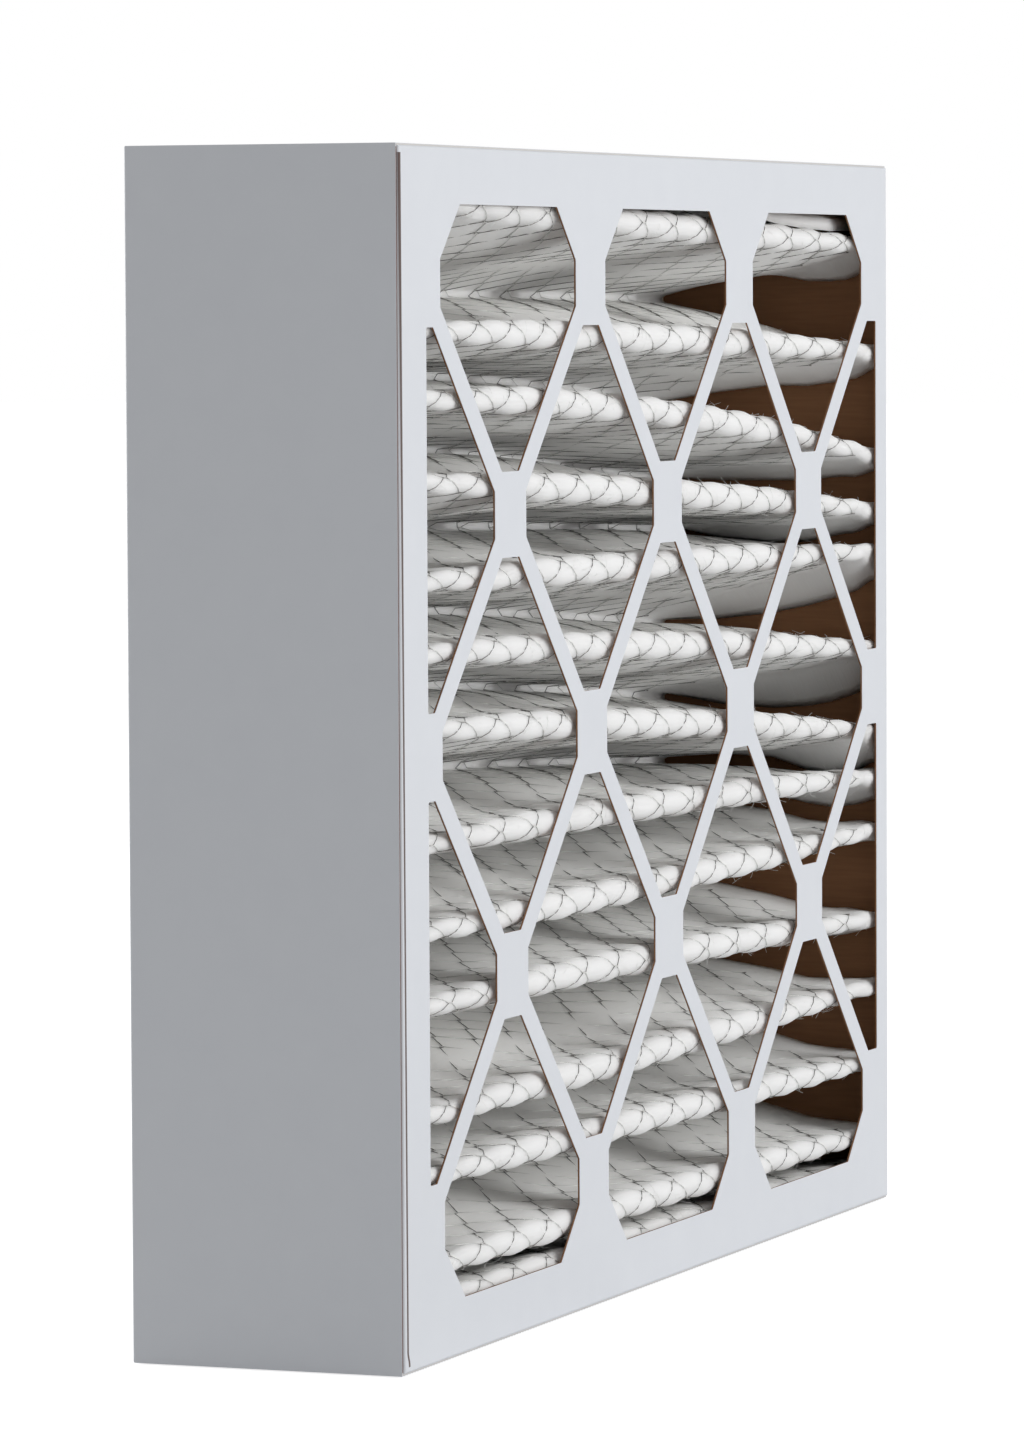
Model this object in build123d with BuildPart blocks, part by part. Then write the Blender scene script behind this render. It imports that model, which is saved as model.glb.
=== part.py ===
from build123d import *
from math import asin, atan2, degrees, hypot
import os

# A pleated panel air filter, 20 x 16 x 4 inches nominal, standing on one long edge.
# X runs along the pleats, Y from the front face to the rear face, Z upwards.
# The origin is the middle of the outer box, at its base. All sizes are in millimetres.

# Outer box
width = 495.3
height = 393.7
depth = 95.25

# Paperboard, and the two trays folded from it. The rear tray wraps round the front tray.
board = 0.7
fold_radius = 0.9
raw_edge_setback = 0.9
flap_end_gap = 0.3
tab_length = 25.0
tab_inset = 3.0
tab_taper = 5.0

# Die-cut windows: diamonds with short flats, in rows that are staggered by half a pitch
column_pitch = 152.4
row_pitch = 76.2
window_half_width = 62.0
window_half_height = 62.0
window_half_flat = 7.8
window_corner_radius = 0.8
lattice_shift = 2.3
left_margin = 23.2
right_margin = 14.0
top_margin = 19.0

# Pleated media, with the metal grid on its front side
pleat_count = 14
media_thickness = 4.0
tip_radius = 5.0
tip_gap = 0.3
grid_thickness = 0.5
grid_margin = 1.0
end_flap_gap = 6.0

# Adhesive: a bead down each side wall, and a film over the top and the bottom end flap
bead_thickness = 1.0
film_thickness = board
film_margin = 4.0

# Places that follow from the sizes
front_face = -depth / 2
rear_face = depth / 2
middle_height = height / 2
front_tray_width = width - 2 * board
front_tray_height = height - 2 * board
front_flap_depth = depth - board - flap_end_gap
rear_flap_depth = depth - raw_edge_setback
inner_half_width = front_tray_width / 2 - board
ceiling = height - 2 * board
tab_height = ceiling - board
field_width = width - left_margin - right_margin
field_height = height - 2 * top_margin
field_shift = (left_margin - right_margin) / 2

# The fold line is the plane between the grid and the media. Its front folds turn on the tip
# radius, and its rear folds on what the media's thickness leaves of that radius.
rear_radius = tip_radius - media_thickness
flap_front = front_face + board + end_flap_gap
flap_height = ceiling - film_thickness - media_thickness
tip_centre = front_face + board + tip_gap + grid_thickness + tip_radius
rear_centre = rear_face - board - tip_gap - media_thickness - rear_radius
top_fold_centre = flap_height - rear_radius
pleat_pitch = (top_fold_centre - (height - top_fold_centre)) / pleat_count
centre_distance = hypot(rear_centre - tip_centre, pleat_pitch / 2)
radius_sum = tip_radius + rear_radius
panel_length = (centre_distance**2 - radius_sum**2) ** 0.5
centre_slope = degrees(atan2(pleat_pitch / 2, rear_centre - tip_centre))
panel_slope = centre_slope - degrees(asin(radius_sum / centre_distance))
media_half_width = inner_half_width - bead_thickness
grid_half_width = media_half_width - grid_margin
last_fold = 2 * pleat_count


def window_field():
    """Draw the staggered diamonds, cut off at the edges of the field of windows."""
    flat, half_width, half_height = window_half_flat, window_half_width, window_half_height
    quarter = [(half_width, flat), (flat, half_height)]
    outline = quarter + [(-x, y) for x, y in reversed(quarter)]
    outline += [(-x, -y) for x, y in outline]
    for row in range(-2, 3):
        columns = 3 if row % 2 == 0 else 4
        first = lattice_shift - column_pitch * (columns - 1) / 2
        with Locations([(first + column * column_pitch, row * row_pitch) for column in range(columns)]):
            Polygon(*outline, align=None)
    with Locations((field_shift, 0)):
        Rectangle(field_width, field_height, mode=Mode.INTERSECT)


def pleat_run(shift):
    """Draw the folded sheet's line, moved this far from the fold line towards the grid's side."""
    first = Line((flap_front, flap_height - shift), (rear_centre, flap_height - shift))
    edge = first
    for fold in range(last_fold + 1):
        turn = 180 - panel_slope if fold in (0, last_fold) else 180 - 2 * panel_slope
        if fold % 2 == 0:
            edge = JernArc(edge @ 1, edge % 1, rear_radius - shift, -turn)
        else:
            edge = JernArc(edge @ 1, edge % 1, tip_radius + shift, turn)
        if fold < last_fold:
            edge = PolarLine(edge @ 1, panel_length, direction=edge % 1)
    last = Line(edge @ 1, (flap_front, height - flap_height + shift))
    return first @ 0, last @ 1


def pleat_band(grid_side, rear_side):
    """Draw the section of a folded layer that reaches these distances each side of the fold line."""
    with BuildLine() as outline:
        near_start, near_end = pleat_run(grid_side)
        far_start, far_end = pleat_run(-rear_side)
        Line(near_start, far_start)
        Line(near_end, far_end)
    make_face(outline.edges())


# Both trays are drawn on upright planes whose normals point to the front.
front_plane = Plane(origin=(0, front_face, middle_height), x_dir=(1, 0, 0), z_dir=(0, -1, 0))
rear_plane = Plane(origin=(0, rear_face, middle_height), x_dir=(1, 0, 0), z_dir=(0, -1, 0))

# Front tray: the front lattice and four flaps that line the rear tray
with BuildPart() as front_tray:
    with BuildSketch(front_plane):
        Rectangle(front_tray_width, front_tray_height)
    extrude(amount=-front_flap_depth)
    fillet(front_tray.faces().sort_by(Axis.Y)[0].edges(), radius=fold_radius)
    offset(amount=-board, openings=front_tray.faces().sort_by(Axis.Y)[-1])
    # The side flaps carry glue tabs that fold in under the top flap and over the bottom flap.
    with BuildSketch(Plane.XY.offset(tab_height)):
        tab_front = front_face + board + tab_inset
        tab_rear = front_face + front_flap_depth - tab_inset
        for side in (-1, 1):
            root = side * inner_half_width
            end = side * (inner_half_width - tab_length)
            Polygon(
                (root, tab_front),
                (end, tab_front + tab_taper),
                (end, tab_rear - tab_taper),
                (root, tab_rear),
                align=None,
            )
    tabs = extrude(amount=board)
    mirror(tabs, about=Plane.XY.offset(middle_height))
    with BuildSketch(front_plane) as front_windows:
        window_field()
        fillet(front_windows.vertices(), radius=window_corner_radius)
    extrude(amount=-board, mode=Mode.SUBTRACT)
front_tray.part.label = "front_tray"

# Rear tray: the rear lattice and the four flaps that make the outside of the frame
with BuildPart() as rear_tray:
    with BuildSketch(rear_plane):
        Rectangle(width, height)
    extrude(amount=rear_flap_depth)
    fillet(rear_tray.faces().sort_by(Axis.Y)[-1].edges(), radius=fold_radius)
    offset(amount=-board, openings=rear_tray.faces().sort_by(Axis.Y)[0])
    with BuildSketch(rear_plane) as rear_windows:
        window_field()
        fillet(rear_windows.vertices(), radius=window_corner_radius)
    extrude(amount=board, mode=Mode.SUBTRACT)
rear_tray.part.label = "rear_tray"

# Pleated media: one sheet, with an end flap under the top and one over the bottom
with BuildPart() as pleated_media:
    with BuildSketch(Plane.YZ):
        pleat_band(0, media_thickness)
    extrude(amount=media_half_width, both=True)
pleated_media.part.label = "pleated_media"

# Metal grid: expanded sheet folded with the media, as one layer that covers the media's front side
with BuildPart() as support_grid:
    with BuildSketch(Plane.YZ):
        pleat_band(grid_thickness, 0)
    extrude(amount=grid_half_width, both=True)
support_grid.part.label = "support_grid"

# Edge adhesive: the media's two cut edges stand in a bead that follows the folds.
with BuildPart() as left_edge_adhesive:
    with BuildSketch(Plane.YZ.offset(-inner_half_width)):
        pleat_band(grid_thickness, media_thickness)
    extrude(amount=bead_thickness)
left_edge_adhesive.part.label = "left_edge_adhesive"

with BuildPart() as right_edge_adhesive:
    with BuildSketch(Plane.YZ.offset(media_half_width)):
        pleat_band(grid_thickness, media_thickness)
    extrude(amount=bead_thickness)
right_edge_adhesive.part.label = "right_edge_adhesive"

# End adhesive: a film between each end flap and its wall, which stops short of the glue tabs
film_width = 2 * (inner_half_width - tab_length - film_margin)
film_front = flap_front + film_margin
film_depth = rear_centre - film_margin - film_front
film_middle = film_front + film_depth / 2

with BuildPart() as top_adhesive:
    with BuildSketch(Plane.XY.offset(ceiling - film_thickness)):
        with Locations((0, film_middle)):
            Rectangle(film_width, film_depth)
    extrude(amount=film_thickness)
top_adhesive.part.label = "top_adhesive"

with BuildPart() as bottom_adhesive:
    with BuildSketch(Plane.XY.offset(height - ceiling)):
        with Locations((0, film_middle)):
            Rectangle(film_width, film_depth)
    extrude(amount=film_thickness)
bottom_adhesive.part.label = "bottom_adhesive"

os.makedirs("parts", exist_ok=True)
export_step(rear_tray.part, "parts/rear_tray.step")
export_step(front_tray.part, "parts/front_tray.step")
export_step(pleated_media.part, "parts/pleated_media.step")
export_step(support_grid.part, "parts/support_grid.step")
export_step(left_edge_adhesive.part, "parts/left_edge_adhesive.step")
export_step(right_edge_adhesive.part, "parts/right_edge_adhesive.step")
export_step(top_adhesive.part, "parts/top_adhesive.step")
export_step(bottom_adhesive.part, "parts/bottom_adhesive.step")
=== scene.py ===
from math import cos, pi, radians, sin

import bmesh
import bpy
import numpy as np
from mathutils import Matrix, Vector


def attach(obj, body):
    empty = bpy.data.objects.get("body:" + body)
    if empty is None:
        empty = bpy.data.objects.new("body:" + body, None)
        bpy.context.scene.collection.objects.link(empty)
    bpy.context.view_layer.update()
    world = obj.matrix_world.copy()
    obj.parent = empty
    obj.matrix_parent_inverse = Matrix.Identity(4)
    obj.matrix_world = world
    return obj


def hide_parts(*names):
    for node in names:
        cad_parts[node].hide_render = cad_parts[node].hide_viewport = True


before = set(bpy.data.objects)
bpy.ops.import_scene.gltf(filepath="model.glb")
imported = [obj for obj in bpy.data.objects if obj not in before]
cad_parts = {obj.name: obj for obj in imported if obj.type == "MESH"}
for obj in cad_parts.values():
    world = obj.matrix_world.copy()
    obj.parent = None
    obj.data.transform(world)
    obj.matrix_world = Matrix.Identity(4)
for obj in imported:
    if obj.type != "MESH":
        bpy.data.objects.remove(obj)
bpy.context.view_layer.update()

MM = 0.001

# ---------------------------------------------------------------- the filter's sizes, in millimetres
WIDTH, HEIGHT, DEPTH = 495.3, 393.7, 95.25
BOARD = 0.7              # paperboard caliper
FOLD_RADIUS = 0.9        # outside of a scored fold
COATING_IN, COATING_FULL = 0.16, 0.08      # depths below the outer face where the white starts and is full
EDGE_ZONE = 1.1          # raw board this near the front or rear is a cut edge, not the inside
FLAP_ZONE = 1.2          # and this near the top or bottom, it is a top or bottom flap's
FACE_CLEARANCE = 0.05    # the sheet and its loose fibres stop this far behind the front board

# the folded sheet: the fold line runs between the fibre sheet and the metal grid on its front side
PLEATS = 14
TIP_RADIUS = 4.2         # the sheet is pressed a little at its folds
END_RADIUS = 2.3         # and more at the two ends of each fold
NARROWING = (100.0, 140.0)      # from this far out from the middle, over this length
VALLEY_RADIUS = 1.5
MEDIA_THICKNESS = 4.0
TIP_LINE = -45.2         # how far forward the fold line comes
VALLEY_Y = 41.1          # centre of each rear fold
FIRST_VALLEY_Z = 386.1
FLAP_FRONT_Y = -40.9     # where the two end flaps stop
FLAP_LENGTH = VALLEY_Y - FLAP_FRONT_Y
PLEAT_LENGTH = 185.4     # sheet used by one pleat, two panels and two folds
FRONT_ARC = 14.8         # of that, in its front fold
REAR_ARC = 4.44          # and in its rear fold
MEDIA_HALF = 245.0
GRID_HALF = 231.0        # the grid is narrower than the fibre sheet
GLUE_EDGE = 246.25       # outer face of the glue on each side edge

# the expanded metal
DIAMOND_LONG = 31.0
ROW_RISE = 9.2           # half a diamond along the sheet, before each row is fitted between the folds
BOND_LENGTH = 3.2
BOND_WIDER, BOND_THICKER = 1.5, 1.3        # a bond's width and thickness, in strands
STRAND_WIDTH = 0.38
STRAND_THICKNESS = 0.26
STRAND_OVERLAP = 0.25    # how far each strand runs into its bonds
STRAND_TILT = -38.0      # expanding the slit sheet turns each strand, in degrees
NET_LIFT = 0.2           # the strands' middle, out from the fold line
NET_TIP_LIFT = 0.2       # and this much more at a front fold
STEEL_FACE, STEEL_EDGE = 0, 1              # the grid's two materials

# Height of each front fold at three places across the width: pleats are set by hand and stand unevenly.
TIP_PLACES = (-147.0, 42.0, 220.0)
TIP_HEIGHTS = (
    (373.5, 368.5, 364.0), (332.8, 329.1, 324.0), (310.6, 302.0, 286.4), (282.5, 274.5, 264.8),
    (252.6, 250.5, 247.9), (228.0, 221.1, 211.7), (202.6, 193.2, 180.6), (168.1, 166.2, 162.3),
    (139.5, 139.4, 141.0), (115.3, 112.6, 108.0), (80.0, 80.4, 81.6), (59.5, 56.6, 53.4),
    (30.4, 28.7, 25.9), (18.0, 15.2, 13.2),
)

# Rows of bonds counted along the sheet to each front fold. A whole number puts a bond on the fold.
ROWS_TO_TIP = (19.0, 39.45, 59.5, 79.4, 100.5, 120.5, 140.4, 160.0, 180.45, 201.0, 221.5, 241.4, 261.5, 281.5)

# How far each rear fold stands above the middle of its two neighbours, at the same three places
VALLEY_SHIFTS = {1: (-7.0, -3.0, 0.0), 2: (-3.0, 0.0, 0.0), 5: (0.0, -4.0, -9.0), 6: (0.0, -2.0, -3.5),
                 7: (-2.0, -3.0, -4.0), 8: (0.0, 1.0, 1.5), 12: (0.0, 2.0, 6.0)}

# How far each pleat's loose margin hangs: close behind its front fold, and half way back. The pleats are
# listed from the top for the right margin, and from the bottom for the left one.
NEAR_SAG = (6.8, 5.4, 4.5, 4.5, 11.0, 13.0, 12.0, 8.0, 2.0, 1.0, 1.5, 1.0, 1.0, 0.5)
DEEP_SAG = (-2.5, 1.0, 4.0, 5.0, 9.0, 10.0, 0.0, 1.0, 1.0, 0.5, 1.0, 0.5, 0.5, 0.0)
SAG_AT_FOLD, SAG_BEHIND = 0.7, 0.3         # shares of the near sag on the front fold, and added just behind it
# where each sag sets in and fades, in shares of the panel: start, length
NEAR_IN, NEAR_OUT = (0.0, 0.1), (0.14, 0.5)
DEEP_IN, DEEP_OUT = (0.14, 0.4), (0.62, 0.38)
MARGIN_OVERLAP = 4.0     # the margin starts to hang this far inside the grid's edge
MARGIN_POWER = 1.2

# The top end flap has come away from the frame, most at its front right corner.
FLAP_SAG = 18.5
FLAP_SAG_ACROSS = (-80.0, 280.0)           # it grows from here, over this length
FLAP_SAG_POWER = 1.6

# Each pleat is pressed down behind its front fold: its upper panel goes in, and its lower one out.
PINCH_UPPER, PINCH_LOWER = 2.2, -1.0
PINCH_BEHIND, PINCH_REACH = 24.0, 15.0
PINCH_WAVE = (0.3, 57.0, 1.3)              # share, millimetres to a radian, radians from panel to panel
BELLY_WAVES = ((1.5, 71.0, 2.1), (0.9, 33.0, 4.7))      # the same for the panels' swell, its height first

# How far the fibres stand out from the fold line: everywhere, more in each diamond, and most on a front fold
PUFF_BASE, PUFF_PANEL, PUFF_TIP = 0.1, 0.28, 0.85
PUFF_POWER = 0.9
TIP_REACH, VALLEY_REACH, PRESSED_REACH = 22.0, 6.0, 16.0      # how far along the sheet a fold is felt
PRESSED_INSIDE = 0.4     # inside radius of a front fold, where the batt is pressed
BATT_WAVE = 0.35         # the batt is this much thicker or thinner in places

# loose fibres on the front folds
FIBRES = 1600
FIBRE_THICKNESS = 0.08
FIBRE_SPAN = 242.0

rng = np.random.default_rng(7)


# ---------------------------------------------------------------- the folded surface
def smooth(t):
    t = np.clip(t, 0.0, 1.0)
    return t * t * (3.0 - 2.0 * t)


def ramp(value, start, length):
    """0 up to the start, then rising to 1 over the length."""
    return smooth((value - start) / length)


# STATIONS cut the flat sheet into runs and bends by turns: flap, rear fold, panel, front fold, panel ...
FOLDS = 2 * PLEATS + 1
is_tip = np.arange(FOLDS) % 2 == 1
tip_centres = FLAP_LENGTH + REAR_ARC / 2 + PLEAT_LENGTH * (np.arange(PLEATS) + 0.5)
valley_centres = FLAP_LENGTH + REAR_ARC / 2 + PLEAT_LENGTH * np.arange(PLEATS + 1)
centres = np.empty(FOLDS)
centres[0::2], centres[1::2] = valley_centres, tip_centres
half_arcs = np.where(is_tip, FRONT_ARC / 2, REAR_ARC / 2)
SHEET_LENGTH = centres[-1] + REAR_ARC / 2 + FLAP_LENGTH
STATIONS = np.concatenate(
    [[0.0], np.column_stack([centres - half_arcs, centres + half_arcs]).ravel(), [SHEET_LENGTH]])
PANEL_LENGTH = STATIONS[3] - STATIONS[2]

tip_fit = np.array([np.polyfit(TIP_PLACES, heights, 2) for heights in TIP_HEIGHTS])
shift_fit = np.array(
    [np.polyfit(TIP_PLACES, VALLEY_SHIFTS.get(k, (0.0, 0.0, 0.0)), 2) for k in range(1, PLEATS)])


def ridge_heights(x):
    """Height of every fold centre at each x: valley 0, tip 0, valley 1, ... valley 14."""
    powers = np.stack([x * x, x, np.ones_like(x)])
    tips = (tip_fit @ powers).T
    heights = np.empty((len(x), FOLDS))
    heights[:, 1::2] = tips
    heights[:, 2:-1:2] = (tips[:, :-1] + tips[:, 1:]) / 2 + (shift_fit @ powers).T
    heights[:, 0] = FIRST_VALLEY_Z
    heights[:, -1] = HEIGHT - FIRST_VALLEY_Z
    return heights


def tip_radius(x):
    return TIP_RADIUS - (TIP_RADIUS - END_RADIUS) * ramp(np.abs(x), *NARROWING)


def near(along, places, reach):
    """1 at each of the places along the sheet, falling away over the reach."""
    return np.exp(-(np.abs(along[:, None] - places[None, :]).min(1) / reach) ** 2)


def margin_sag(x, run, arc, bend, share):
    """How far the loose margin beside the grid hangs below its pleat."""
    lower = (run % 2 == 0) & ~bend & (run > 0) & (run <= 2 * PLEATS)
    nose = bend & (arc % 2 == 1)
    pleat = np.clip(np.where(nose, (arc - 1) // 2, run // 2 - 1), 0, PLEATS - 1)
    pleat = np.where(x > 0, pleat, PLEATS - 1 - pleat)
    near_sag, deep_sag = np.array(NEAR_SAG)[pleat], np.array(DEEP_SAG)[pleat]
    near_share = (SAG_AT_FOLD + SAG_BEHIND * ramp(share, *NEAR_IN)) * (1.0 - ramp(share, *NEAR_OUT))
    deep_share = ramp(share, *DEEP_IN) * (1.0 - ramp(share, *DEEP_OUT))
    on_nose = near_sag * SAG_AT_FOLD * ramp(share, 0.5, 0.5)
    on_panel = near_sag * near_share + deep_sag * deep_share
    hang = np.where(lower, on_panel, np.where(nose, on_nose, 0.0))
    inset = np.abs(x) - GRID_HALF + MARGIN_OVERLAP
    return hang * np.clip(inset / (MEDIA_HALF - GRID_HALF + MARGIN_OVERLAP), 0.0, 1.0) ** MARGIN_POWER


def fold(flat):
    """Takes flat points (across, along, out) to the folded pleats, in mm. out is to the grid's side."""
    x, along, out = np.asarray(flat, float).T
    rows = np.arange(len(x))
    nose = tip_radius(x)[:, None]
    z = ridge_heights(x)
    y = np.where(is_tip, TIP_LINE + nose, VALLEY_Y)
    # from each centre to the fold line, along the outward normal
    reach = np.where(is_tip, nose, -VALLEY_RADIUS)
    dy, dz = np.diff(y, axis=1), np.diff(z, axis=1)
    lean = np.arcsin((nose + VALLEY_RADIUS) / np.hypot(dy, dz))
    angle = np.arctan2(dz, dy)
    angle = np.where(angle > pi / 2, angle - 2 * pi, angle) - lean * np.where(is_tip[1:], 1.0, -1.0)
    angle = np.column_stack([np.zeros(len(x)), angle, np.zeros(len(x))])     # heading of each straight run
    piece = np.clip(np.searchsorted(STATIONS, along, side="right") - 1, 0, len(STATIONS) - 2)
    share = (along - STATIONS[piece]) / (STATIONS[piece + 1] - STATIONS[piece])
    run, bend = piece // 2, piece % 2 == 1
    arc = np.clip(np.where(bend, (piece - 1) // 2, run), 0, 2 * PLEATS)
    turned = angle[rows, arc] + share * (angle[rows, arc + 1] - angle[rows, arc])
    heading = np.where(bend, turned, angle[rows, run])
    normal = np.stack([np.sin(heading), -np.cos(heading)], 1)

    def beside(index):
        return np.stack([y[rows, index], z[rows, index]], 1) + reach[rows, index][:, None] * normal

    start, end = beside(np.clip(run - 1, 0, 2 * PLEATS)), beside(np.clip(run, 0, 2 * PLEATS))
    first, last = ~bend & (run == 0), ~bend & (run == 2 * PLEATS + 1)
    start[first] = end[first] - [FLAP_LENGTH, 0.0]
    end[last] = start[last] - [FLAP_LENGTH, 0.0]
    base = np.where(bend[:, None], beside(arc), start + share[:, None] * (end - start))
    base[:, 1] -= margin_sag(x, run, arc, bend, share)
    flap_sag = FLAP_SAG * ramp(x, *FLAP_SAG_ACROSS) * (1.0 - share) ** FLAP_SAG_POWER
    base[:, 1] -= np.where(first, flap_sag, 0.0)

    panel = ~(bend | first | last)
    lower = run % 2 == 0
    behind = PANEL_LENGTH * np.where(lower, share, 1.0 - share)
    pinch = np.where(lower, PINCH_LOWER, PINCH_UPPER) * np.exp(-((behind - PINCH_BEHIND) / PINCH_REACH) ** 2)
    size, pace, turn = PINCH_WAVE
    pinch = pinch * (1.0 + size * np.sin(x / pace + run * turn))
    belly = np.sin(pi * share) * sum(
        size * np.sin(x / pace + run * turn) for size, pace, turn in BELLY_WAVES)
    base += (out + np.where(panel, belly - pinch, 0.0))[:, None] * normal
    return np.column_stack([x, base])


# The grid is counted in rows of bonds. Its rows are spaced a little unevenly, as the pleats are.
row_along = np.concatenate([[0.0], tip_centres, [SHEET_LENGTH]])
row_count = np.concatenate([
    [ROWS_TO_TIP[0] - tip_centres[0] / ROW_RISE], ROWS_TO_TIP,
    [ROWS_TO_TIP[-1] + (SHEET_LENGTH - tip_centres[-1]) / ROW_RISE]])


def puff(x, along):
    """How far the fibre sheet stands out of the grid's diamonds: 0 under a strand, 1 in the middle."""
    p, q = x / DIAMOND_LONG, np.interp(along, row_along, row_count) / 2
    return np.abs(np.sin(pi * (p - q)) * np.sin(pi * (p + q))) ** PUFF_POWER


# ---------------------------------------------------------------- small helpers
def hex_colour(code):
    """sRGB hex to linear RGBA."""
    values = [int(code[i:i + 2], 16) / 255 for i in (1, 3, 5)]
    return tuple(v / 12.92 if v <= 0.04045 else ((v + 0.055) / 1.055) ** 2.4 for v in values) + (1.0,)


def add_node(tree, kind, inputs=None, **settings):
    """Adds a node with its settings, and sets or links its inputs."""
    node = tree.nodes.new(kind)
    for name, value in settings.items():
        setattr(node, name, value)
    for key, value in (inputs or {}).items():
        if isinstance(value, bpy.types.NodeSocket):
            tree.links.new(value, node.inputs[key])
        else:
            node.inputs[key].default_value = value
    return node


def new_material(name):
    material = bpy.data.materials.new(name)
    material.use_nodes = True
    material.node_tree.nodes.clear()
    return material, material.node_tree


def finish_material(tree, shader):
    out = add_node(tree, "ShaderNodeOutputMaterial")
    tree.links.new(shader.outputs[0], out.inputs["Surface"])


def as_mesh(bm, name):
    """Puts a bmesh into a new mesh, and frees it."""
    mesh = bpy.data.meshes.new(name)
    bm.to_mesh(mesh)
    bm.free()
    return mesh


def add_to(bm, part):
    """Adds one bmesh to another, and frees it."""
    mesh = as_mesh(part, "part")
    bm.from_mesh(mesh)
    bpy.data.meshes.remove(mesh)


def new_piece(name, bm, material, replaces=()):
    mesh = as_mesh(bm, name)
    mesh.materials.append(material)
    piece = bpy.data.objects.new(name, mesh)
    bpy.context.scene.collection.objects.link(piece)
    for polygon in mesh.polygons:
        polygon.use_smooth = True
    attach(piece, "root")
    if replaces:
        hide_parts(*replaces)
    return piece


def fold_vertices(bm):
    """Moves a flat bmesh, in mm, onto the folded pleats, in metres."""
    flat = np.array([v.co[:] for v in bm.verts])
    for vert, place in zip(bm.verts, fold(flat) * MM):
        vert.co = place
    bmesh.ops.reverse_faces(bm, faces=bm.faces[:])      # the fold mirrors the flat mesh


def keep_behind_board(bm):
    """Moves what would reach into the front board back behind it."""
    limit = (-DEPTH / 2 + BOARD + FACE_CLEARANCE) * MM
    for vert in bm.verts:
        vert.co.y = max(vert.co.y, limit)


# ---------------------------------------------------------------- materials
def painted_gap_shade(tree, place, colour):
    """A dark line in the coating beside the left fold: bare kraft where the coating cracked, darkened into
    painted shade of the narrow gap between the two trays. Going down, its line wanders away from the fold.
    """
    left_edge = -WIDTH / 2
    foot, head = 2.6 * MM, (HEIGHT - 3.0) * MM      # the dark line's two ends
    spot = add_node(tree, "ShaderNodeSeparateXYZ", {0: place.outputs["Object"]})
    across, height = spot.outputs[0], spot.outputs[2]
    drift = add_node(tree, "ShaderNodeMapRange", {
        "Value": height, "From Min": 0.0, "From Max": HEIGHT * MM,
        "To Min": (left_edge + 2.9) * MM, "To Max": (left_edge + 1.35) * MM})
    # over its last few millimetres it hooks further out
    hook = add_node(tree, "ShaderNodeMapRange", {
        "Value": height, "From Min": foot, "From Max": 8.0 * MM, "To Min": 1.3 * MM, "To Max": 0.0},
        interpolation_type="SMOOTHERSTEP")
    line = add_node(tree, "ShaderNodeMath", {0: drift.outputs[0], 1: hook.outputs[0]}, operation="ADD")
    gap = add_node(tree, "ShaderNodeMath", {0: across, 1: line.outputs[0]}, operation="SUBTRACT")
    gap = add_node(tree, "ShaderNodeMath", {0: gap.outputs[0]}, operation="ABSOLUTE")
    gap_shade = add_node(tree, "ShaderNodeMapRange", {
        "Value": gap.outputs[0], "From Min": 0.5 * MM, "From Max": 0.85 * MM, "To Min": 1.0, "To Max": 0.0})
    for end, side in ((foot, "GREATER_THAN"), (head, "LESS_THAN")):
        within = add_node(tree, "ShaderNodeMath", {0: height, 1: end}, operation=side)
        gap_shade = add_node(tree, "ShaderNodeMath", {
            0: gap_shade.outputs[0], 1: within.outputs[0]}, operation="MULTIPLY")
    # the line's colour is bare kraft darkened with painted shade of the gap between the trays
    return add_node(tree, "ShaderNodeMix", {
        "Factor": gap_shade.outputs[0], 6: colour.outputs[2], 7: hex_colour("#4B3833")}, data_type="RGBA")


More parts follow.
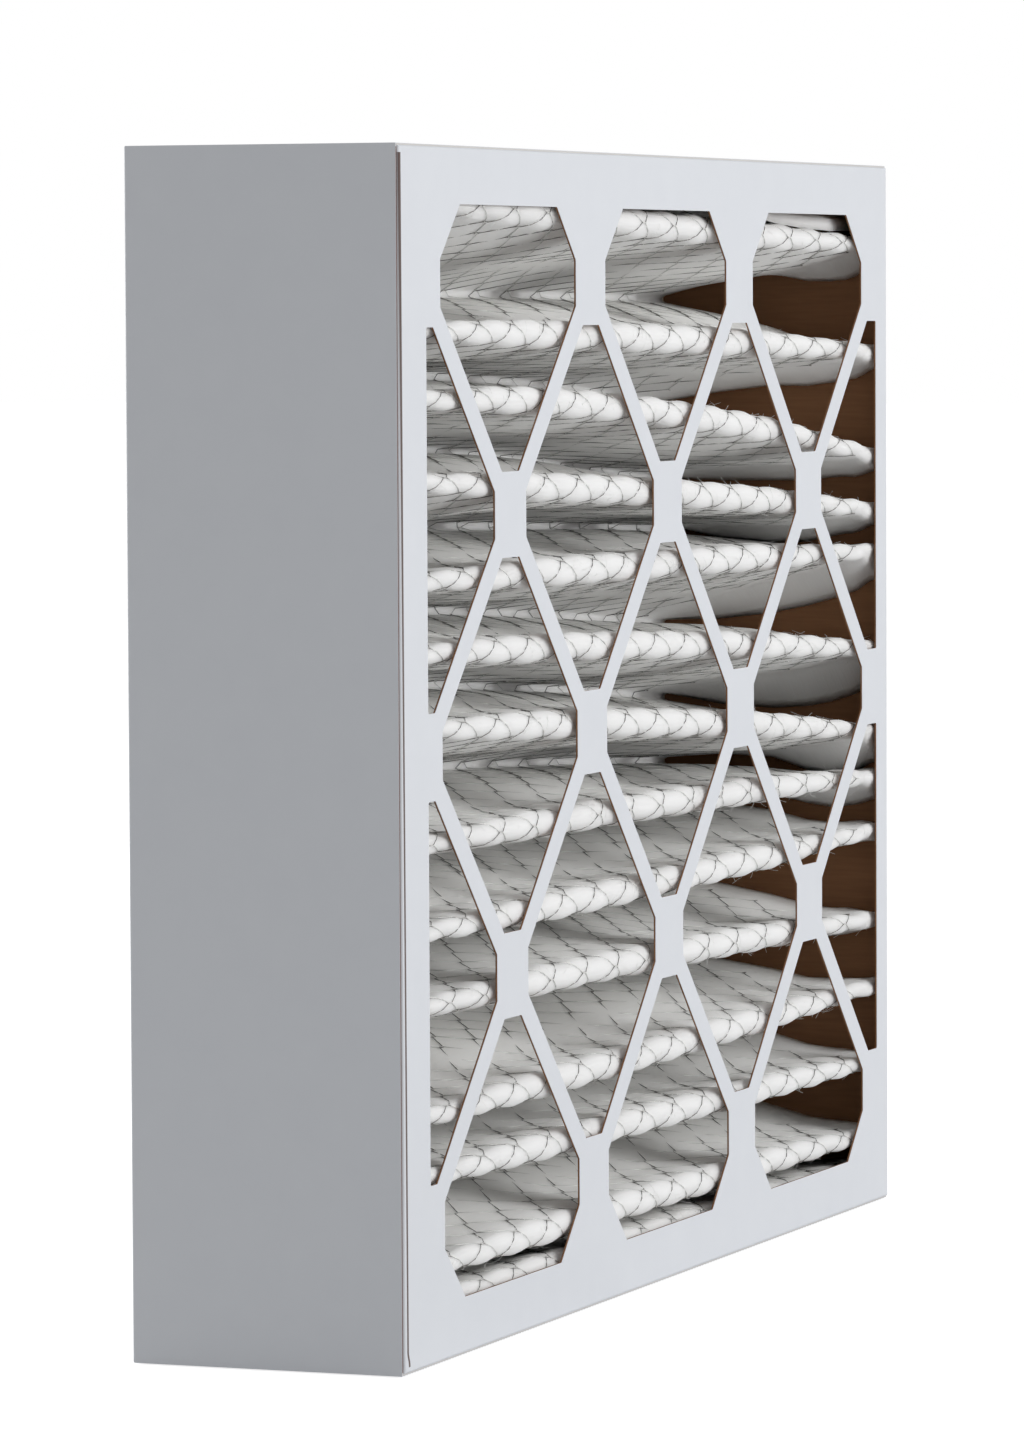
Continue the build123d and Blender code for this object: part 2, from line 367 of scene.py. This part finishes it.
def coated_board(name, half_size, centre, seam=False):
    """Clay-coated recycled board: its coating white outside, raw brown kraft inside and on every cut edge."""
    material, tree = new_material(name)
    place = add_node(tree, "ShaderNodeTexCoord")
    moved = add_node(tree, "ShaderNodeVectorMath", {
        0: place.outputs["Object"], 1: centre}, operation="SUBTRACT")
    size = add_node(tree, "ShaderNodeVectorMath", {0: moved.outputs[0]}, operation="ABSOLUTE")
    # each point's distance from the inner box that the folds turn round: the coating is the outermost skin
    inner = tuple(h - FOLD_RADIUS * MM for h in half_size)
    over = add_node(tree, "ShaderNodeVectorMath", {0: size.outputs[0], 1: inner}, operation="SUBTRACT")
    clipped = add_node(tree, "ShaderNodeVectorMath", {0: over.outputs[0], 1: (0, 0, 0)}, operation="MAXIMUM")
    reach = add_node(tree, "ShaderNodeVectorMath", {0: clipped.outputs[0]}, operation="LENGTH")
    coat = add_node(tree, "ShaderNodeMapRange", {
        "Value": reach.outputs["Value"],
        "From Min": (FOLD_RADIUS - COATING_IN) * MM, "From Max": (FOLD_RADIUS - COATING_FULL) * MM})
    # faint clouds in the white, about 17 mm across
    mottle = add_node(tree, "ShaderNodeTexNoise", {
        "Vector": place.outputs["Object"], "Scale": 60.0, "Detail": 5.0, "Roughness": 0.6})
    white = add_node(tree, "ShaderNodeMix", {
        "Factor": mottle.outputs["Fac"], 6: hex_colour("#D9DCE2"), 7: hex_colour("#DEE1E6")},
        data_type="RGBA")
    # bundles of kraft fibre, about 1 mm high and 17 mm long
    long_grain = add_node(tree, "ShaderNodeMapping", {
        "Vector": place.outputs["Object"], "Scale": (60.0, 60.0, 900.0)})
    fibres = add_node(tree, "ShaderNodeTexNoise", {
        "Vector": long_grain.outputs[0], "Scale": 1.0, "Detail": 4.0})
    kraft = add_node(tree, "ShaderNodeMix", {
        "Factor": fibres.outputs["Fac"], 6: hex_colour("#785135"), 7: hex_colour("#8E6544")},
        data_type="RGBA")
    # the top and bottom flaps' front edges are scuffed grey, and the side flaps' are darker
    apart = add_node(tree, "ShaderNodeSeparateXYZ", {0: size.outputs[0]})
    high = add_node(tree, "ShaderNodeMath", {
        0: apart.outputs[2], 1: half_size[2] - FLAP_ZONE * MM}, operation="GREATER_THAN")
    edge_tone = add_node(tree, "ShaderNodeMix", {
        "Factor": high.outputs[0], 6: hex_colour("#5E3A30"), 7: hex_colour("#CFCDCB")}, data_type="RGBA")
    at_edge = add_node(tree, "ShaderNodeMath", {
        0: apart.outputs[1], 1: DEPTH / 2 * MM - EDGE_ZONE * MM}, operation="GREATER_THAN")
    raw = add_node(tree, "ShaderNodeMix", {
        "Factor": at_edge.outputs[0], 6: kraft.outputs[2], 7: edge_tone.outputs[2]}, data_type="RGBA")
    bare = kraft if seam else raw
    colour = add_node(tree, "ShaderNodeMix", {
        "Factor": coat.outputs[0], 6: bare.outputs[2], 7: white.outputs[2]}, data_type="RGBA")
    # beside the left fold, a painted dark line stands for the shade in the gap between the trays
    if seam:
        colour = painted_gap_shade(tree, place, colour)
    rough = add_node(tree, "ShaderNodeMapRange", {"Value": coat.outputs[0], "To Min": 0.9, "To Max": 0.58})
    bump = add_node(tree, "ShaderNodeBump", {
        "Height": fibres.outputs["Fac"], "Strength": 0.15, "Distance": 0.1 * MM})
    shader = add_node(tree, "ShaderNodeBsdfPrincipled", {
        "Base Color": colour.outputs[2], "Roughness": rough.outputs[0], "IOR": 1.5,
        "Normal": bump.outputs[0]})
    finish_material(tree, shader)
    return material


def fibre_felt():
    """Carded polyester and cotton fibre, thermally bonded: a soft white batt that lets some light through."""
    material, tree = new_material("carded fibre felt")
    flat = add_node(tree, "ShaderNodeUVMap", uv_map="flat")
    # bundles of fibre rather than single ones: streaks about 1 by 25 mm, and clumps about 11 by 40 mm
    streaked = add_node(tree, "ShaderNodeMapping", {"Vector": flat.outputs[0], "Scale": (40.0, 900.0, 1.0)})
    streaks = add_node(tree, "ShaderNodeTexNoise", {
        "Vector": streaked.outputs[0], "Scale": 1.0, "Detail": 6.0, "Roughness": 0.65})
    clumped = add_node(tree, "ShaderNodeMapping", {"Vector": flat.outputs[0], "Scale": (25.0, 90.0, 1.0)})
    clumps = add_node(tree, "ShaderNodeTexNoise", {"Vector": clumped.outputs[0], "Scale": 1.0, "Detail": 3.0})
    both = add_node(tree, "ShaderNodeMath", {
        0: streaks.outputs["Fac"], 1: clumps.outputs["Fac"]}, operation="ADD")
    tone = add_node(tree, "ShaderNodeMapRange", {"Value": both.outputs[0], "From Min": 0.7, "From Max": 1.3})
    colour = add_node(tree, "ShaderNodeMix", {
        "Factor": tone.outputs[0], 6: hex_colour("#F8F7F4"), 7: hex_colour("#FEFEFC")}, data_type="RGBA")
    bump = add_node(tree, "ShaderNodeBump", {
        "Height": both.outputs[0], "Strength": 0.35, "Distance": 0.5 * MM})
    shader = add_node(tree, "ShaderNodeBsdfPrincipled", {
        "Base Color": colour.outputs[2], "Roughness": 1.0, "Specular IOR Level": 0.0,
        "Normal": bump.outputs[0], "Subsurface Weight": 1.0, "Subsurface Radius": (1.0, 1.0, 1.0),
        "Subsurface Scale": 7.0 * MM})
    finish_material(tree, shader)
    return material


def expanded_steel(name, dark, light, metallic):
    """Slit and stretched galvanised steel: bright where it was rolled, and paler and more matt than bare zinc,
    a painted glint of the white felt around it; dull and dark where it was sheared, that dark also painted
    shade and dark reflections along each strand.
    """
    material, tree = new_material(name)
    place = add_node(tree, "ShaderNodeTexCoord")
    # spangle about 1 mm across
    mill = add_node(tree, "ShaderNodeTexNoise", {
        "Vector": place.outputs["Object"], "Scale": 900.0, "Detail": 3.0})
    colour = add_node(tree, "ShaderNodeMix", {
        "Factor": mill.outputs["Fac"], 6: hex_colour(dark), 7: hex_colour(light)}, data_type="RGBA")
    rough = add_node(tree, "ShaderNodeMapRange", {"Value": mill.outputs["Fac"], "To Min": 0.3, "To Max": 0.5})
    shader = add_node(tree, "ShaderNodeBsdfPrincipled", {
        "Base Color": colour.outputs[2], "Metallic": metallic, "Roughness": rough.outputs[0]})
    finish_material(tree, shader)
    return material


def dried_glue():
    """White vinyl adhesive, dried: off-white and slightly glossy, with lumps about 3 mm across."""
    material, tree = new_material("dried vinyl glue")
    place = add_node(tree, "ShaderNodeTexCoord")
    lumps = add_node(tree, "ShaderNodeTexNoise", {
        "Vector": place.outputs["Object"], "Scale": 350.0, "Detail": 2.0})
    colour = add_node(tree, "ShaderNodeMix", {
        "Factor": lumps.outputs["Fac"], 6: hex_colour("#D8D2C2"), 7: hex_colour("#E6E1D3")}, data_type="RGBA")
    bump = add_node(tree, "ShaderNodeBump", {
        "Height": lumps.outputs["Fac"], "Strength": 0.4, "Distance": 0.4 * MM})
    shader = add_node(tree, "ShaderNodeBsdfPrincipled", {
        "Base Color": colour.outputs[2], "Roughness": 0.42, "IOR": 1.47, "Normal": bump.outputs[0]})
    finish_material(tree, shader)
    return material


def dress_node(node, material):
    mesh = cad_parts[node].data
    mesh.materials.clear()
    mesh.materials.append(material)


middle = (0.0, 0.0, HEIGHT / 2 * MM)
outer = (WIDTH / 2 * MM, DEPTH / 2 * MM, HEIGHT / 2 * MM)
inside = ((WIDTH / 2 - BOARD) * MM, DEPTH / 2 * MM, (HEIGHT / 2 - BOARD) * MM)
dress_node("rear_tray", coated_board("clay-coated board, rear", outer, middle))
dress_node("front_tray", coated_board("clay-coated board, front", inside, middle, seam=True))
glue = dried_glue()
for film in ("top_adhesive", "bottom_adhesive"):
    dress_node(film, glue)
felt = fibre_felt()
# the pale galvanised face holds a painted glint of the white felt; the dark sheared edge holds painted shade
# and dark reflections along the strands
steel = expanded_steel("expanded steel, galvanised face and painted glint", "#CFCFCC", "#E2E2E0", 0.4)
sheared_steel_and_shade = expanded_steel("expanded steel, sheared edge and painted shade", "#575551", "#74716D", 1.0)


# ---------------------------------------------------------------- the fibre sheet
def row_stations():
    """Rows along the sheet: close together over each fold, wide on the panels and flaps."""
    rows = [0.0, 6.0, 20.0, 50.0, FLAP_LENGTH]
    panel = np.cumsum([2.0, 2.5, 3.0, 4.0, 6.0, 9.0, 14.0, 20.0])
    for k in range(FOLDS):
        low, high = centres[k] - half_arcs[k], centres[k] + half_arcs[k]
        bend = list(np.linspace(low, high, 11 if is_tip[k] else 4))
        rows += bend if k else bend[1:]      # the first rear fold starts where the flap ends
        if k < 2 * PLEATS:
            next_low = centres[k + 1] - half_arcs[k + 1]
            rows += list(high + panel) if is_tip[k] else list(next_low - panel[::-1])
    rows += [rows[-1] + d for d in (30.0, 60.0, 76.0, FLAP_LENGTH)]
    return np.array(rows)


ROWS = row_stations()


def grid_along_rows(bm, columns, across, out=0.0):
    """Adds a flat grid with a row at each of ROWS, and returns its vertices. across(-0.5 to 0.5) gives x."""
    made = bmesh.ops.create_grid(bm, x_segments=columns, y_segments=len(ROWS) - 1, size=0.5)["verts"]
    for vert in made:
        row = round((vert.co.y + 0.5) * (len(ROWS) - 1))
        vert.co = (across(vert.co.x), ROWS[row], out)
    return made


def fibre_layer(bm, columns, outs):
    """Adds one face of the sheet."""
    made = grid_along_rows(bm, columns, lambda share: share * 2 * MEDIA_HALF)
    flat = np.array([v.co[:] for v in made])
    for vert, out in zip(made, outs(flat[:, 0], flat[:, 1])):
        vert.co.z = out


def front_outs(x, along):
    tip = near(along, tip_centres, TIP_REACH)
    valley = near(along, valley_centres, VALLEY_REACH)
    return (PUFF_BASE + puff(x, along) * (PUFF_PANEL + PUFF_TIP * tip)) * (1 - valley)


def rear_outs(x, along):
    """The other face, a full thickness in, and less where the sheet is pressed at a fold."""
    close = near(along, tip_centres, PRESSED_REACH)
    thick = MEDIA_THICKNESS - BATT_WAVE * np.sin(x / 17.0 + along / 23.0) * np.sin(along / 31.0)
    return -(thick + close * (tip_radius(x) - PRESSED_INSIDE - thick))


bm = bmesh.new()
fibre_layer(bm, 138, front_outs)
fibre_layer(bm, 69, rear_outs)
uv = bm.loops.layers.uv.new("flat")
for face in bm.faces:
    for loop in face.loops:
        loop[uv].uv = (loop.vert.co.x * MM, loop.vert.co.y * MM)
# the two faces are joined at their rims, one edge of the sheet at a time
rims = {}
for edge in [e for e in bm.edges if e.is_boundary]:
    a, b = edge.verts
    key = ("end", round(a.co.y, 3)) if abs(a.co.y - b.co.y) < 1e-4 else ("side", round(a.co.x, 3))
    rims.setdefault(key, []).append(edge)
for edges in rims.values():
    bmesh.ops.bridge_loops(bm, edges=edges)
bmesh.ops.recalc_face_normals(bm, faces=bm.faces)
fold_vertices(bm)
keep_behind_board(bm)
sheet = new_piece("pleated_fibre_sheet", bm, felt, ["pleated_media"])


# ---------------------------------------------------------------- the expanded metal grid
def strand(bm, start, end, width, thickness, cuts=0, tilt=0.0, side_material=STEEL_EDGE):
    """Adds one flat bar from start to end, cut across so that it can follow a fold."""
    start, end = Vector(start), Vector(end)
    bar = bmesh.new()
    bmesh.ops.create_cube(bar, size=1.0)
    if cuts:
        lengthwise = [e for e in bar.edges if abs(e.verts[0].co.x - e.verts[1].co.x) > 0.5]
        bmesh.ops.subdivide_edges(bar, edges=lengthwise, cuts=cuts)
    for face in bar.faces:
        face.material_index = STEEL_FACE if abs(face.normal.z) > 0.5 else side_material
    run = end - start
    turn = Matrix.Rotation(np.arctan2(run.y, run.x), 4, "Z") @ Matrix.Rotation(radians(tilt), 4, "X")
    size = Matrix.Diagonal((run.length, width, thickness, 1.0))
    place = Matrix.Translation((start + end) / 2) @ turn @ size
    bmesh.ops.transform(bar, matrix=place, verts=bar.verts)
    add_to(bm, bar)


def net_row(cuts, shift, flat_side):
    """One row of zigzag strands and their bonds, half a diamond high, whole strands only.

    The strands that lean to flat_side (1 or -1) lie flat, those of side 1 with a bright edge, a painted glint
    for the upper panels that face the light. 0 tilts all of them.
    """
    row = bmesh.new()
    bond = BOND_LENGTH / 2
    most = int(GRID_HALF // DIAMOND_LONG) + 1
    for n in range(-most, most + 1):
        x = n * DIAMOND_LONG + shift
        for step in (1.0, -1.0):
            far = x + step * DIAMOND_LONG / 2
            if max(abs(x), abs(far)) > GRID_HALF:
                continue
            inset = step * (bond - STRAND_OVERLAP)
            ends = [(x + inset, 0.0, 0.0), (far - inset, ROW_RISE, 0.0)]
            if step < 0:
                ends.reverse()
            lies_flat = step == flat_side
            # on upper panels the flat strands are bright all over: a painted glint where those panels face the
            # light
            strand(row, ends[0], ends[1], STRAND_WIDTH, STRAND_THICKNESS, cuts,
                   0.0 if lies_flat else STRAND_TILT,
                   STEEL_FACE if lies_flat and flat_side > 0 else STEEL_EDGE)
        if abs(x) <= GRID_HALF:
            strand(row, (x - bond, 0, 0), (x + bond, 0, 0),
                   BOND_WIDER * STRAND_WIDTH, STRAND_THICKNESS * BOND_THICKER)
    return as_mesh(row, "net row")


net = bmesh.new()
row_meshes = {(cuts, odd, side): net_row(cuts, odd * DIAMOND_LONG / 2, side)
              for cuts, side in ((0, 1), (0, -1), (2, 1), (2, -1), (2, 0)) for odd in (0, 1)}
for j in range(int(np.ceil(row_count[0])), int(row_count[-1])):
    low, high = np.interp([j, j + 1], row_count, row_along)
    middle_row = (low + high) / 2
    bent = any(c - a < high and c + a > low for c, a in zip(centres, half_arcs))
    if bent and is_tip[np.abs(centres - middle_row).argmin()]:
        side = 0
    else:
        side = 1 if np.searchsorted(centres, middle_row) % 2 else -1      # 1 on every upper panel
    before = len(net.verts)
    net.from_mesh(row_meshes[(2 if bent else 0), j % 2, side])
    net.verts.ensure_lookup_table()
    row = net.verts[before:]
    bmesh.ops.scale(net, verts=row, vec=(1.0, (high - low) / ROW_RISE, 1.0))
    bmesh.ops.translate(net, verts=row, vec=(0, low, NET_LIFT))
flat = np.array([v.co[:] for v in net.verts])
for vert, lift in zip(net.verts, NET_TIP_LIFT * near(flat[:, 1], tip_centres, TIP_REACH)):
    vert.co.z += lift
fold_vertices(net)
grid = new_piece("expanded_metal_grid", net, steel, ["support_grid"])
grid.data.materials.append(sheared_steel_and_shade)


# ---------------------------------------------------------------- loose fibres along the front folds
fuzz = bmesh.new()
for _ in range(FIBRES):
    tip = rng.integers(PLEATS)
    place = Vector((rng.uniform(-FIBRE_SPAN, FIBRE_SPAN), tip_centres[tip] + rng.normal(0, 8.0), 0.5))
    angle = rng.normal(0.0, 0.9) + (pi if rng.random() < 0.5 else 0.0)
    length = rng.uniform(3.0, 9.0)
    lift, curl = rng.uniform(0.6, 2.6), rng.normal(0, 1.2)
    thread = bmesh.new()
    strand(thread, (0, 0, 0), (length, 0, 0), FIBRE_THICKNESS, FIBRE_THICKNESS, 3)
    for vert in thread.verts:
        t = vert.co.x / length
        bent = Vector((vert.co.x, vert.co.y + curl * t * t, vert.co.z + lift * t ** 1.5))
        vert.co = place + Matrix.Rotation(angle, 3, "Z") @ bent
    add_to(fuzz, thread)
fold_vertices(fuzz)
keep_behind_board(fuzz)
new_piece("loose_fibres", fuzz, felt)


# ---------------------------------------------------------------- glue along the sheet's two side edges
def edge_glue(name, left, right, node):
    bm = bmesh.new()
    grid_along_rows(bm, 1, lambda share: left if share < 0 else right, 0.1)
    bmesh.ops.solidify(bm, geom=bm.faces[:], thickness=MEDIA_THICKNESS)
    bmesh.ops.recalc_face_normals(bm, faces=bm.faces)
    fold_vertices(bm)
    new_piece(name, bm, glue, [node])


edge_glue("left_edge_glue", -GLUE_EDGE, -MEDIA_HALF, "left_edge_adhesive")
edge_glue("right_edge_glue", MEDIA_HALF, GLUE_EDGE, "right_edge_adhesive")


# ---------------------------------------------------------------- floor, light and camera
def seen_directly(tree):
    """1 for camera, glossy and transmission rays, and 0 for the rays that carry light to the filter."""
    path = add_node(tree, "ShaderNodeLightPath")
    seen = path.outputs["Is Camera Ray"]
    for ray in ("Is Glossy Ray", "Is Transmission Ray"):
        more = add_node(tree, "ShaderNodeMath", {0: seen, 1: path.outputs[ray]}, operation="MAXIMUM")
        seen = more.outputs[0]
    return seen


def studio_floor():
    """A pale matt floor. Where it is seen directly, a glow of its own lifts it to white."""
    material, tree = new_material("white studio floor")
    seen = seen_directly(tree)
    paint = add_node(tree, "ShaderNodeBsdfDiffuse", {"Color": hex_colour("#D0D0D0")})
    glow = add_node(tree, "ShaderNodeEmission", {"Color": (1, 1, 1, 1), "Strength": 0.8})
    lit = add_node(tree, "ShaderNodeAddShader", {0: paint.outputs[0], 1: glow.outputs[0]})
    mix = add_node(tree, "ShaderNodeMixShader", {0: seen, 1: paint.outputs[0], 2: lit.outputs[0]})
    finish_material(tree, mix)
    bm = bmesh.new()
    bmesh.ops.create_grid(bm, x_segments=1, y_segments=1, size=20.0)
    bmesh.ops.translate(bm, verts=bm.verts, vec=(0, 0, -0.5 * MM))
    mesh = as_mesh(bm, "studio_floor")
    mesh.materials.append(material)
    floor = bpy.data.objects.new("studio_floor", mesh)
    bpy.context.scene.collection.objects.link(floor)


def studio_world():
    """The room looks white, but gives less light than that."""
    world = bpy.data.worlds.new("studio")
    world.use_nodes = True
    tree = world.node_tree
    tree.nodes.clear()
    seen = seen_directly(tree)
    room = add_node(tree, "ShaderNodeBackground", {"Color": (1, 1, 1, 1), "Strength": 0.42})
    white = add_node(tree, "ShaderNodeBackground", {"Color": (1, 1, 1, 1), "Strength": 1.0})
    mix = add_node(tree, "ShaderNodeMixShader", {0: seen, 1: room.outputs[0], 2: white.outputs[0]})
    out = add_node(tree, "ShaderNodeOutputWorld")
    tree.links.new(mix.outputs[0], out.inputs["Surface"])
    bpy.context.scene.world = world


def soft_box(name, place, size, power):
    """A square area light, turned to the filter's middle."""
    light = bpy.data.lights.new(name, "AREA")
    light.shape, light.size, light.energy = "SQUARE", size, power
    lamp = bpy.data.objects.new(name, light)
    lamp.location = place
    lamp.rotation_euler = (Vector((0.0, 0.0, 0.2)) - Vector(place)).to_track_quat("-Z", "Y").to_euler()
    bpy.context.scene.collection.objects.link(lamp)


studio_floor()
studio_world()
soft_box("front softbox", (0.0, -2.9, 0.95), 2.2, 55.0)
soft_box("back softbox", (0.5, 2.6, 0.6), 2.0, 60.0)

FOCAL_PIXELS, FRAME_PIXELS = 7306.5, 1433.0      # the focal length, and the frame's height
SENSOR = 36.0
CAMERA_PLACE = (-2.3993, -0.9174, 0.3444)
yaw, pitch, roll = radians(68.86), radians(-3.28), radians(-0.27)
ahead = Vector((sin(yaw) * cos(pitch), cos(yaw) * cos(pitch), sin(pitch)))
right = Vector((cos(yaw), -sin(yaw), 0.0))
up = right.cross(ahead)
right, up = right * cos(roll) + up * sin(roll), up * cos(roll) - right * sin(roll)
camera_data = bpy.data.cameras.new("camera")
camera_data.sensor_width = SENSOR
camera_data.lens = FOCAL_PIXELS * SENSOR / FRAME_PIXELS
camera_data.clip_end = 50.0
camera = bpy.data.objects.new("camera", camera_data)
turn = Matrix((right, up, -ahead)).transposed().to_4x4()
camera.matrix_world = Matrix.Translation(CAMERA_PLACE) @ turn
bpy.context.scene.collection.objects.link(camera)
bpy.context.scene.camera = camera
bpy.context.scene.view_settings.view_transform = "Standard"
